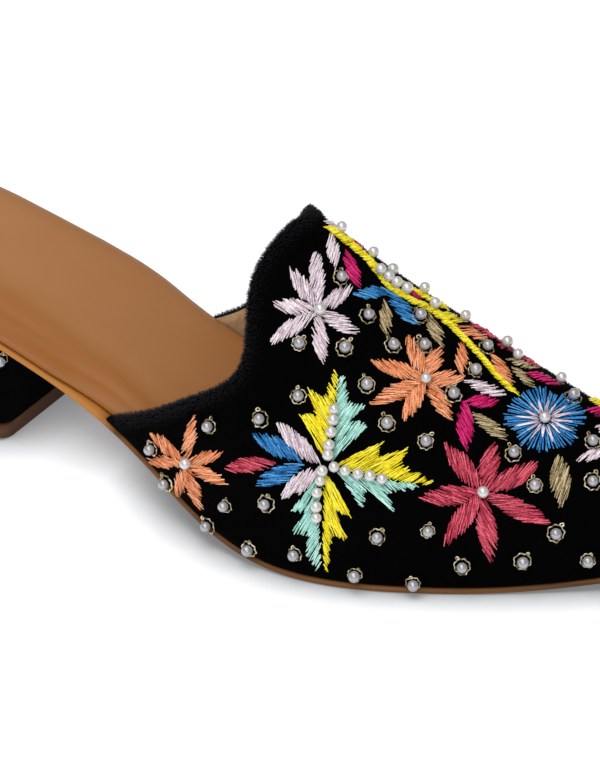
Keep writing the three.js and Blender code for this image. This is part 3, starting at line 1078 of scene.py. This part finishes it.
def sew(thread, stitches, both_sides, crown=THREAD_CROWN):
    """Lay one shape's stitches on the outer side, and on the inner side too if it is repeated."""
    middle = sum((stitch.start + stitch.end for stitch in stitches), Vector((0, 0))) / (2 * len(stitches))
    anchor = on_surface(upper_surface, middle)
    for stitch in stitches:
        length = (stitch.end - stitch.start).length
        level = crown * stitch.lift * min(SHORT_HEIGHT + length / LONG_STITCH, 1)
        level *= chance.uniform(*STITCH_HEIGHTS)
        # Painted shade: a thread with a lower lift, as in the padding, gets a darker shade.
        shade = chance.gauss(SHADE_START + SHADE_BY_LIFT * stitch.lift, THREAD_VARIETY)
        shade = min(max(shade, 0), 1)
        outer, inner = [], []
        for share, height in thread_heights(level):
            pixel = stitch.start.lerp(stitch.end, share) + wobble(THREAD_WAVE)
            seat = held(seat_under(upper_surface, pixel, height), anchor, (pixel - middle).length)
            outer.append(over(seat, height))
            other = inner_side(seat) if both_sides else None
            inner.append(over(other, height) if other else None)
        threads[thread].append(Strand(outer, shade))
        if None not in inner:
            threads[thread].append(Strand(inner, shade))


for flower in FLOWERS:
    for tip in flower.tips:
        sew(flower.thread, petal(flower.heart, tip, flower.width), both_sides=True)
sew("blue", disc(BLUE_HEART, BLUE_RADII, BLUE_NOTCHES), both_sides=True)
sew("lilac", rays(BLUE_HEART, BLUE_RADII, BLUE_RAYS), both_sides=True, crown=RAISED_CROWN)
for leaf in SPRAY:
    sew(leaf.thread, half_leaf(leaf.outline, leaf.grain), both_sides=True)
for leaf in SPRAY_LEAVES:
    sew(leaf.thread, petal(leaf.root, leaf.tip, leaf.width), both_sides=True)
for leaf in RIDGE_LEAVES:
    sew(leaf.thread, petal(leaf.root, leaf.tip, leaf.width), both_sides=False)
for line in STEMS:
    for stitch in stem(line.path, line.width):
        sew("yellow", [stitch], both_sides=False, crown=RAISED_CROWN)
print("threads:", {name: len(strands) for name, strands in threads.items()})

# %% A tree's frame
Socket = namedtuple("Socket", "label kind value")


def new_tree(name, *sockets):
    """A Geometry Nodes tree with named numbers and a finish for what it makes."""
    tree = bpy.data.node_groups.new(name, "GeometryNodeTree")
    tree.interface.new_socket("Geometry", in_out="INPUT", socket_type="NodeSocketGeometry")
    for socket in sockets:
        made = tree.interface.new_socket(socket.label, in_out="INPUT", socket_type=socket.kind)
        made.default_value = socket.value
    tree.interface.new_socket("Finish", in_out="INPUT", socket_type="NodeSocketMaterial")
    tree.interface.new_socket("Geometry", in_out="OUTPUT", socket_type="NodeSocketGeometry")
    return tree, node(tree, "NodeGroupInput").outputs


def read(tree, label, kind="FLOAT"):
    """What the points of the geometry store under a label."""
    sockets = {"Name": label}
    return node(tree, "GeometryNodeInputNamedAttribute", sockets, data_type=kind).outputs["Attribute"]


def moved(tree, geometry, offset):
    """Geometry with its points moved by an offset."""
    sockets = {"Geometry": geometry, "Offset": offset}
    return node(tree, "GeometryNodeSetPosition", sockets).outputs["Geometry"]


def close_tree(tree, inputs, geometry):
    """End a tree: real geometry in place of instances, then the finish."""
    real = node(tree, "GeometryNodeRealizeInstances", {"Geometry": geometry})
    sockets = {"Geometry": real.outputs["Geometry"], "Material": inputs["Finish"]}
    done = node(tree, "GeometryNodeSetMaterial", sockets)
    node(tree, "NodeGroupOutput", {"Geometry": done.outputs["Geometry"]})
    return tree


def grow(name, start, tree, finish, **numbers):
    """Run a tree on a starting mesh and keep what it makes as a plain piece."""
    piece = new_piece(name, start)
    modifier = piece.modifiers.new(tree.name, "NODES")
    modifier.node_group = tree
    values = {"Finish": finish, **{label.replace("_", " "): v for label, v in numbers.items()}}
    for item in tree.interface.items_tree:
        if item.in_out == "INPUT" and item.name in values:
            modifier[item.identifier] = values[item.name]
    keep_result(piece)
    faces = sum(len(polygon.vertices) - 2 for polygon in piece.data.polygons)
    print(name, "has", faces, "triangles")
    return piece


def store(mesh, label, values):
    """Store a number or a direction on every point of a mesh."""
    if isinstance(values[0], Vector):
        flat = [value for vector in values for value in vector]
        mesh.attributes.new(label, "FLOAT_VECTOR", "POINT").data.foreach_set("vector", flat)
    else:
        mesh.attributes.new(label, "FLOAT", "POINT").data.foreach_set("value", values)


# %% The thread tree
def circle(tree, radius, points):
    """A round curve, as a path or as the profile of a strand."""
    sockets = {"Resolution": points, "Radius": radius}
    return node(tree, "GeometryNodeCurvePrimitiveCircle", sockets).outputs["Curve"]


def thread_tree():
    tree, inputs = new_tree("sweep_threads", Socket("Width", "NodeSocketFloat", THREAD_WIDTH))
    radius = calc(tree, "MULTIPLY", inputs["Width"], 0.5)
    paths = node(tree, "GeometryNodeMeshToCurve", {"Mesh": inputs["Geometry"]})
    strands = node(tree, "GeometryNodeCurveToMesh", {
        "Curve": paths.outputs["Curve"],
        "Profile Curve": circle(tree, radius, points=4),
        "Fill Caps": True,
    })
    return close_tree(tree, inputs, strands.outputs["Mesh"])


def path_mesh(name, strands):
    """One mesh of plain edges; every strand has a shade of its own."""
    points, edges, shades = [], [], []
    for path, shade in strands:
        first = len(points)
        points.extend(path)
        shades.extend([shade] * len(path))
        edges.extend((first + i, first + i + 1) for i in range(len(path) - 1))
    mesh = bpy.data.meshes.new(name)
    mesh.from_pydata(points, edges, [])
    store(mesh, "shade", shades)
    return mesh


sweep = thread_tree()
for name, strands in threads.items():
    sewn = grow("thread_" + name, path_mesh(name, strands), sweep, THREADS[name], Width=THREAD_WIDTH)
    dress(sewn, "velvet")

# %% [markdown]
# ## Pearls and their gold rings
#
# Most pearls are sewn down inside a piece of gold wire, which is bent into a ring with eight corners
# and ends in a small loop. The pearl stands proud of its ring, so from the side the ring slips out
# from under it. An Array modifier repeats a shape in even steps only, while points can lie anywhere
# on the velvet. So one tree sets spheres on points, and a second sets rings by the normal and the
# upward direction that every point carries.

# %% Where the pearls sit
Setting = namedtuple("Setting", "pearl base normal up size")
PEARL_RADIUS = 1.5 * MM
PEARL_OVER_CLOTH = 1.75 * MM
PEARL_OVER_THREAD = 2.3 * MM
RING_RADIUS = 1.95 * MM
RING_OVER_CLOTH = 0.7 * MM
PLAIN_TONE = 0.8  # pearls that sit high on thread catch more light than those deep in a ring
RINGED_TONE = 0.2
PEARL_SIZES = (0.93, 1.05)  # shares of the radius
RING_SIZES = (0.86, 1.12)
RING_LEANS = (-0.5, 0.9)  # how far a ring's loop leans to the right in the photograph


def setting(seat, height):
    """A pearl over its seat, and the ring's own upward direction."""
    size = chance.uniform(*PEARL_SIZES)
    up = view_up + view_right * chance.uniform(*RING_LEANS)
    up = (up - seat.normal * up.dot(seat.normal)).normalized()
    return Setting(over(seat, height), over(seat, RING_OVER_CLOTH), seat.normal, up, size)


def settings_at(pixels, height, both_sides):
    """Settings on the outer side, and on the inner side too where the pattern is repeated."""
    made = []
    for pixel in pixels:
        seat = seat_under(upper_surface, pixel, height)
        made.append(setting(seat, height))
        other = inner_side(seat) if both_sides else None
        if other:
            made.append(setting(other, height))
    return made


plain = [
    *settings_at(HEART_PEARLS, PEARL_OVER_THREAD, both_sides=True),
    *settings_at(SPINE_PEARLS, PEARL_OVER_THREAD, both_sides=True),
    *settings_at(RIDGE_PEARLS, PEARL_OVER_THREAD, both_sides=False),
]
ringed = [
    *settings_at(RIDGE_RINGED_PEARLS, PEARL_OVER_CLOTH, both_sides=False),
    *settings_at(SIDE_RINGED_PEARLS, PEARL_OVER_CLOTH, both_sides=True),
]

# %% Pearls on the heel
HEEL_PEARL = (0, 362)  # pixels
HEEL_PEARL_GAP = 15 * MM
HEEL_PEARL_STEPS = 11
HEEL_PEARL_ROWS = (14 * MM, 29 * MM)
HEEL_MIDDLE = Vector((-92, 7)) * MM
HEEL_OUTSIDE = 100 * MM  # from the middle, well clear of the heel


def heel_settings():
    """A sparse staggered row round the covered heel, with the one pearl that the photograph shows."""
    shown = setting(seat_under(heel_surface, HEEL_PEARL, PEARL_OVER_CLOTH), PEARL_OVER_CLOTH)
    made = [shown]
    for i in range(HEEL_PEARL_STEPS):
        angle = math.tau * (i + 0.5) / HEEL_PEARL_STEPS
        height = HEEL_PEARL_ROWS[i % 2]
        out = Vector((math.cos(angle), math.sin(angle), 0))
        start = Vector((*HEEL_MIDDLE, height)) + out * HEEL_OUTSIDE
        spot, normal, _, _ = heel_surface.ray_cast(start, -out)
        if (spot - shown.base).length > HEEL_PEARL_GAP:
            made.append(setting(Seat(spot, normal), PEARL_OVER_CLOTH))
    return made


heel_ringed = heel_settings()
print("pearls:", len(plain), "plain,", len(ringed) + len(heel_ringed), "in rings")


# %% The pearl tree and the ring tree
def pearl_tree():
    tree, inputs = new_tree("set_pearls", Socket("Radius", "NodeSocketFloat", PEARL_RADIUS))
    sockets = {"Segments": 16, "Rings": 9, "Radius": inputs["Radius"]}
    ball = node(tree, "GeometryNodeMeshUVSphere", sockets)
    placed = node(tree, "GeometryNodeInstanceOnPoints", {
        "Points": inputs["Geometry"],
        "Instance": ball.outputs["Mesh"],
        "Scale": read(tree, "size"),
    })
    return close_tree(tree, inputs, placed.outputs["Instances"])


RING_CORNERS = 8.0
CORNER_DEPTH = 0.085  # share of the radius
LOOP_RISE = 0.5 * MM  # of the small loop over its ring
BEND_SCALE = 420.0  # bends in a metre


def cornered(tree, curve):
    """Push a round loop out at its corners and in between them."""
    place = node(tree, "GeometryNodeInputPosition").outputs["Position"]
    axes = node(tree, "ShaderNodeSeparateXYZ", {"Vector": place}).outputs
    angle = calc(tree, "ARCTAN2", axes["Y"], axes["X"])
    wave = calc(tree, "COSINE", calc(tree, "MULTIPLY", angle, RING_CORNERS))
    push = calc(tree, "MULTIPLY", wave, CORNER_DEPTH)
    return moved(tree, curve, vector_calc(tree, "SCALE", place, push))


def bent(tree, geometry, amount):
    """Bend wire by hand, so to speak: a slow pattern in space pushes every ring its own way."""
    pattern = node(tree, "ShaderNodeTexNoise", {"Scale": BEND_SCALE, "Detail": 1.0}).outputs["Color"]
    centred = vector_calc(tree, "SUBTRACT", pattern, (0.5, 0.5, 0.5))
    return moved(tree, geometry, vector_calc(tree, "SCALE", centred, amount))


def swept(tree, path, profile):
    """Wire along a path."""
    sockets = {"Curve": path, "Profile Curve": profile}
    return node(tree, "GeometryNodeCurveToMesh", sockets).outputs["Mesh"]


def turned_out(tree):
    """The rotation that stands a ring on its point's normal, with its loop along the stored up."""
    sockets = {"Vector": read(tree, "out", "FLOAT_VECTOR")}
    stand = node(tree, "FunctionNodeAlignRotationToVector", sockets, axis="Z")
    sockets = {"Rotation": stand.outputs["Rotation"], "Vector": read(tree, "up", "FLOAT_VECTOR")}
    turn = node(tree, "FunctionNodeAlignRotationToVector", sockets, axis="Y", pivot_axis="Z")
    return turn.outputs["Rotation"]


def ring_tree():
    tree, inputs = new_tree(
        "set_rings",
        Socket("Radius", "NodeSocketFloat", RING_RADIUS),
        Socket("Wire", "NodeSocketFloat", 0.19 * MM),
        Socket("Loop", "NodeSocketFloat", 0.42 * MM),
        Socket("Bend", "NodeSocketFloat", 1.0 * MM),
    )
    wire = circle(tree, inputs["Wire"], points=5)
    ring = swept(tree, cornered(tree, circle(tree, inputs["Radius"], points=32)), wire)
    out = calc(tree, "ADD", inputs["Radius"], inputs["Loop"])
    offset = node(tree, "ShaderNodeCombineXYZ", {"Y": out, "Z": LOOP_RISE}).outputs["Vector"]
    loop = swept(tree, moved(tree, circle(tree, inputs["Loop"], points=8), offset), wire)
    both = node(tree, "GeometryNodeJoinGeometry", {"Geometry": ring})
    tree.links.new(loop, both.inputs["Geometry"])
    placed = node(tree, "GeometryNodeInstanceOnPoints", {
        "Points": inputs["Geometry"],
        "Instance": both.outputs["Geometry"],
        "Rotation": turned_out(tree),
        "Scale": read(tree, "size"),
    })
    real = node(tree, "GeometryNodeRealizeInstances", {"Geometry": placed.outputs["Instances"]})
    return close_tree(tree, inputs, bent(tree, real.outputs["Geometry"], inputs["Bend"]))


# %% Set the pearls and rings
def pearl_points(name, on_thread, in_rings):
    mesh = bpy.data.meshes.new(name)
    settings = on_thread + in_rings
    mesh.from_pydata([s.pearl for s in settings], [], [])
    store(mesh, "size", [s.size for s in settings])
    store(mesh, "tone", [PLAIN_TONE] * len(on_thread) + [RINGED_TONE] * len(in_rings))
    return mesh


def ring_points(name, settings):
    mesh = bpy.data.meshes.new(name)
    mesh.from_pydata([s.base for s in settings], [], [])
    store(mesh, "size", [chance.uniform(*RING_SIZES) for _ in settings])
    store(mesh, "out", [s.normal for s in settings])
    store(mesh, "up", [s.up for s in settings])
    return mesh


pearls = grow("pearls", pearl_points("pearls", plain, ringed + heel_ringed), pearl_tree(), PEARL)
rings = grow("gold_rings", ring_points("gold_rings", ringed + heel_ringed), ring_tree(), GOLD_WIRE)
dress(pearls, "velvet")
dress(rings, "velvet")

# %% [markdown]
# ## Velvet pile
#
# The pile stands about a millimetre off the cloth. It shows where the surface turns away from the
# eye, and most of all along the rim of the upper, so it is grown as real fibres. Hair from a particle
# system is no mesh and would be lost on the way to other programs; cones are plain geometry. A tree
# scatters points over the velvet and sets a slim cone on each, leaning a little out of the straight
# and down. Pile is left out under the embroidery, and it is thicker and taller near the rim, where a
# painted sheen makes it lighter.

# %% How thick the pile stands
RIM_REACH = 6 * MM
BARE_REACH = 1.0 * MM  # no pile stands this close to a thread or a pearl's seat
GLUED_EDGE = 5 * MM  # height of the edge above the outsole that counts as no rim
PILE_ON_CLOTH = 0.3  # share of the full thickness away from the rim
PILE_ON_HEEL = 0.16


def tree_of(points):
    """A search tree over points."""
    found = KDTree(len(points))
    for i, point in enumerate(points):
        found.insert(point, i)
    found.balance()
    return found


def rim_points(piece):
    """Places on the upper where velvet and lining meet, above its glued edge."""
    sides = {}
    for polygon in piece.data.polygons:
        for edge in polygon.edge_keys:
            sides.setdefault(edge, set()).add(polygon.material_index)
    edges = [edge for edge, found in sides.items() if len(found) == 2]
    places = [piece.data.vertices[i].co.copy() for edge in edges for i in edge]
    return [p for p in places if p.z > upper_slices[round(p.x / SLICE_LENGTH)].floor + GLUED_EDGE]


def velvet_faces(piece, cuts):
    """A copy of a piece's velvet faces, cut finer so that the pile can end close to a stitch."""
    shape = bmesh.new()
    shape.from_mesh(piece.data)
    lining = [face for face in shape.faces if face.material_index == INSIDE]
    bmesh.ops.delete(shape, geom=lining, context="FACES")
    bmesh.ops.subdivide_edges(shape, edges=shape.edges, cuts=cuts, use_grid_fill=True)
    mesh = bpy.data.meshes.new(piece.name + "_cloth")
    shape.to_mesh(mesh)
    shape.free()
    return mesh


def mark_pile(mesh, covered, least, rim=None):
    """Store on each point how thick the pile stands there, from 0 to 1."""
    marks = mesh.attributes.new("pile", "FLOAT", "POINT")
    for vertex, mark in zip(mesh.vertices, marks.data):
        if vertex.normal.z < FACES_DOWN or covered.find(vertex.co)[2] < BARE_REACH:
            mark.value = 0
            continue
        near = max(1 - rim.find(vertex.co)[2] / RIM_REACH, 0) if rim else 0
        mark.value = least + (1 - least) * near
    return mesh


# %% The pile tree
FIBRE_LENGTH = 1.35 * MM
FIBRE_WIDTH = 0.13 * MM
FIBRES_PER_MM2 = 14.0
FIBRE_HANG = (0, 0, -0.35)  # the pile's own weight, against a normal of length 1
FIBRE_SIZES = (0.5, 1.0)
SIZE_SEED = 11
STUBBLE = 0.2  # share of the length that fibres keep in the thinnest pile


def pile_tree():
    tree, inputs = new_tree(
        "grow_pile",
        Socket("Length", "NodeSocketFloat", FIBRE_LENGTH),
        Socket("Width", "NodeSocketFloat", FIBRE_WIDTH),
        Socket("Lean", "NodeSocketFloat", 0.45),
        Socket("Thickness", "NodeSocketFloat", FIBRES_PER_MM2 / MM**2),
        Socket("Seed", "NodeSocketInt", 3),
    )
    pile = read(tree, "pile")
    points = node(tree, "GeometryNodeDistributePointsOnFaces", {
        "Mesh": inputs["Geometry"],
        "Density": calc(tree, "MULTIPLY", pile, inputs["Thickness"]),
        "Seed": inputs["Seed"],
    })
    fibre = node(tree, "GeometryNodeMeshCone", {
        "Vertices": 3,
        "Radius Top": 0.0,
        "Radius Bottom": inputs["Width"],
        "Depth": inputs["Length"],
    })
    sway = node(tree, "FunctionNodeRandomValue", {
        0: (-1, -1, -1),
        1: (1, 1, 1),
        "Seed": inputs["Seed"],
    }, data_type="FLOAT_VECTOR")
    lean = vector_calc(tree, "SCALE", sway.outputs[0], inputs["Lean"])
    hang = vector_calc(tree, "ADD", lean, FIBRE_HANG)
    way = vector_calc(tree, "ADD", points.outputs["Normal"], hang)
    turn = node(tree, "FunctionNodeAlignRotationToVector", {"Vector": way}, axis="Z")
    sizes = {2: FIBRE_SIZES[0], 3: FIBRE_SIZES[1], "Seed": SIZE_SEED}
    size = node(tree, "FunctionNodeRandomValue", sizes, data_type="FLOAT").outputs[1]
    placed = node(tree, "GeometryNodeInstanceOnPoints", {
        "Points": points.outputs["Points"],
        "Instance": fibre.outputs["Mesh"],
        "Rotation": turn.outputs["Rotation"],
        "Scale": calc(tree, "MULTIPLY", size, calc(tree, "ADD", pile, STUBBLE)),
    })
    return close_tree(tree, inputs, placed.outputs["Instances"])


# %% Grow the pile
sewn_points = [point for strands in threads.values() for strand in strands for point in strand.path]
sewn_points += [s.base for s in plain + ringed + heel_ringed]
covered = tree_of(sewn_points)
pile = pile_tree()

rim = tree_of(rim_points(upper))
upper_cloth = mark_pile(velvet_faces(upper, cuts=1), covered, PILE_ON_CLOTH, rim)
dress(grow("upper_pile", upper_cloth, pile, PILE), "velvet")

heel_cloth = mark_pile(velvet_faces(heel, cuts=1), covered, PILE_ON_HEEL)
dress(grow("heel_pile", heel_cloth, pile, PILE), "velvet")

# %% [markdown]
# ## Floor and light
#
# A product photograph on white: a large soft light from above and a little in front, a bright
# surround, and a pale table that glows a little from below, so that it keeps only a soft shadow.
# Close to the sole a painted contact shadow makes the table darker, as it is in the photograph; the
# share of open sky over each point of it tells where. Pearls and silk live from reflections. A soft
# light close to the eye gives each pearl its bright spot, and the white surround is kept out of
# reflections, or it would grey every rim. Plain colours are wanted, so the view has no film curve.

# %% Floor
FLOOR_SIZE = 6.0  # metres
FLOOR_DROP = 0.1 * MM  # below the sole, so that the two don't share a plane
FLOOR_GLOW = 0.2
CONTACT_REACH = 16 * MM  # a contact shadow is painted on the floor this close to the sole


def pale_floor():
    material, tree, shader = new_finish("pale_floor", {
        "Specular IOR Level": 0.1,
        "Emission Color": (1, 1, 1, 1),
        "Emission Strength": FLOOR_GLOW,
    })
    contact_shadow = node(tree, "ShaderNodeAmbientOcclusion", {"Distance": CONTACT_REACH}).outputs["AO"]
    # Painted shadow: the floor is painted darker where little open sky reaches it.
    tint(tree, shader, contact_shadow, [(0.35, "46474a"), (0.97, "f4f6f9")])
    gloss(tree, shader, noise(tree, scale=2.0), low=0.8, high=0.9)
    half = FLOOR_SIZE / 2
    corners = [(x, y, -FLOOR_DROP) for x, y in ((-half, -half), (half, -half), (half, half), (-half, half))]
    mesh = bpy.data.meshes.new("floor")
    mesh.from_pydata(corners, [], [(0, 1, 2, 3)])
    return new_piece("floor", mesh, material)


pale_floor()
print("floor in metres:", FLOOR_SIZE)

# %% Light
Softbox = namedtuple("Softbox", "name place size watts")
SOFTBOXES = [
    Softbox("top_light", (-0.15, -0.3, 1.18), 0.9, 8.0),
    Softbox("front_light", (0.4, -1.0, 0.93), 1.0, 7.5),
]
SURROUND = 0.5  # strength of the white world


def hang_softbox(box):
    lamp = bpy.data.lights.new(box.name, "AREA")
    lamp.size = box.size
    lamp.energy = box.watts
    hung = bpy.data.objects.new(box.name, lamp)
    hung.location = box.place
    hung.rotation_euler = (Vector(box.place) - AIM).to_track_quat("Z", "Y").to_euler()
    scene.collection.objects.link(hung)


for softbox in SOFTBOXES:
    hang_softbox(softbox)
world = bpy.data.worlds.new("surround")
scene.world = world
world.use_nodes = True
world.node_tree.nodes["Background"].inputs["Color"].default_value = (1, 1, 1, 1)
world.node_tree.nodes["Background"].inputs["Strength"].default_value = SURROUND
world.cycles_visibility.glossy = False
scene.view_settings.view_transform = "Standard"
print("lights:", [softbox.name for softbox in SOFTBOXES])
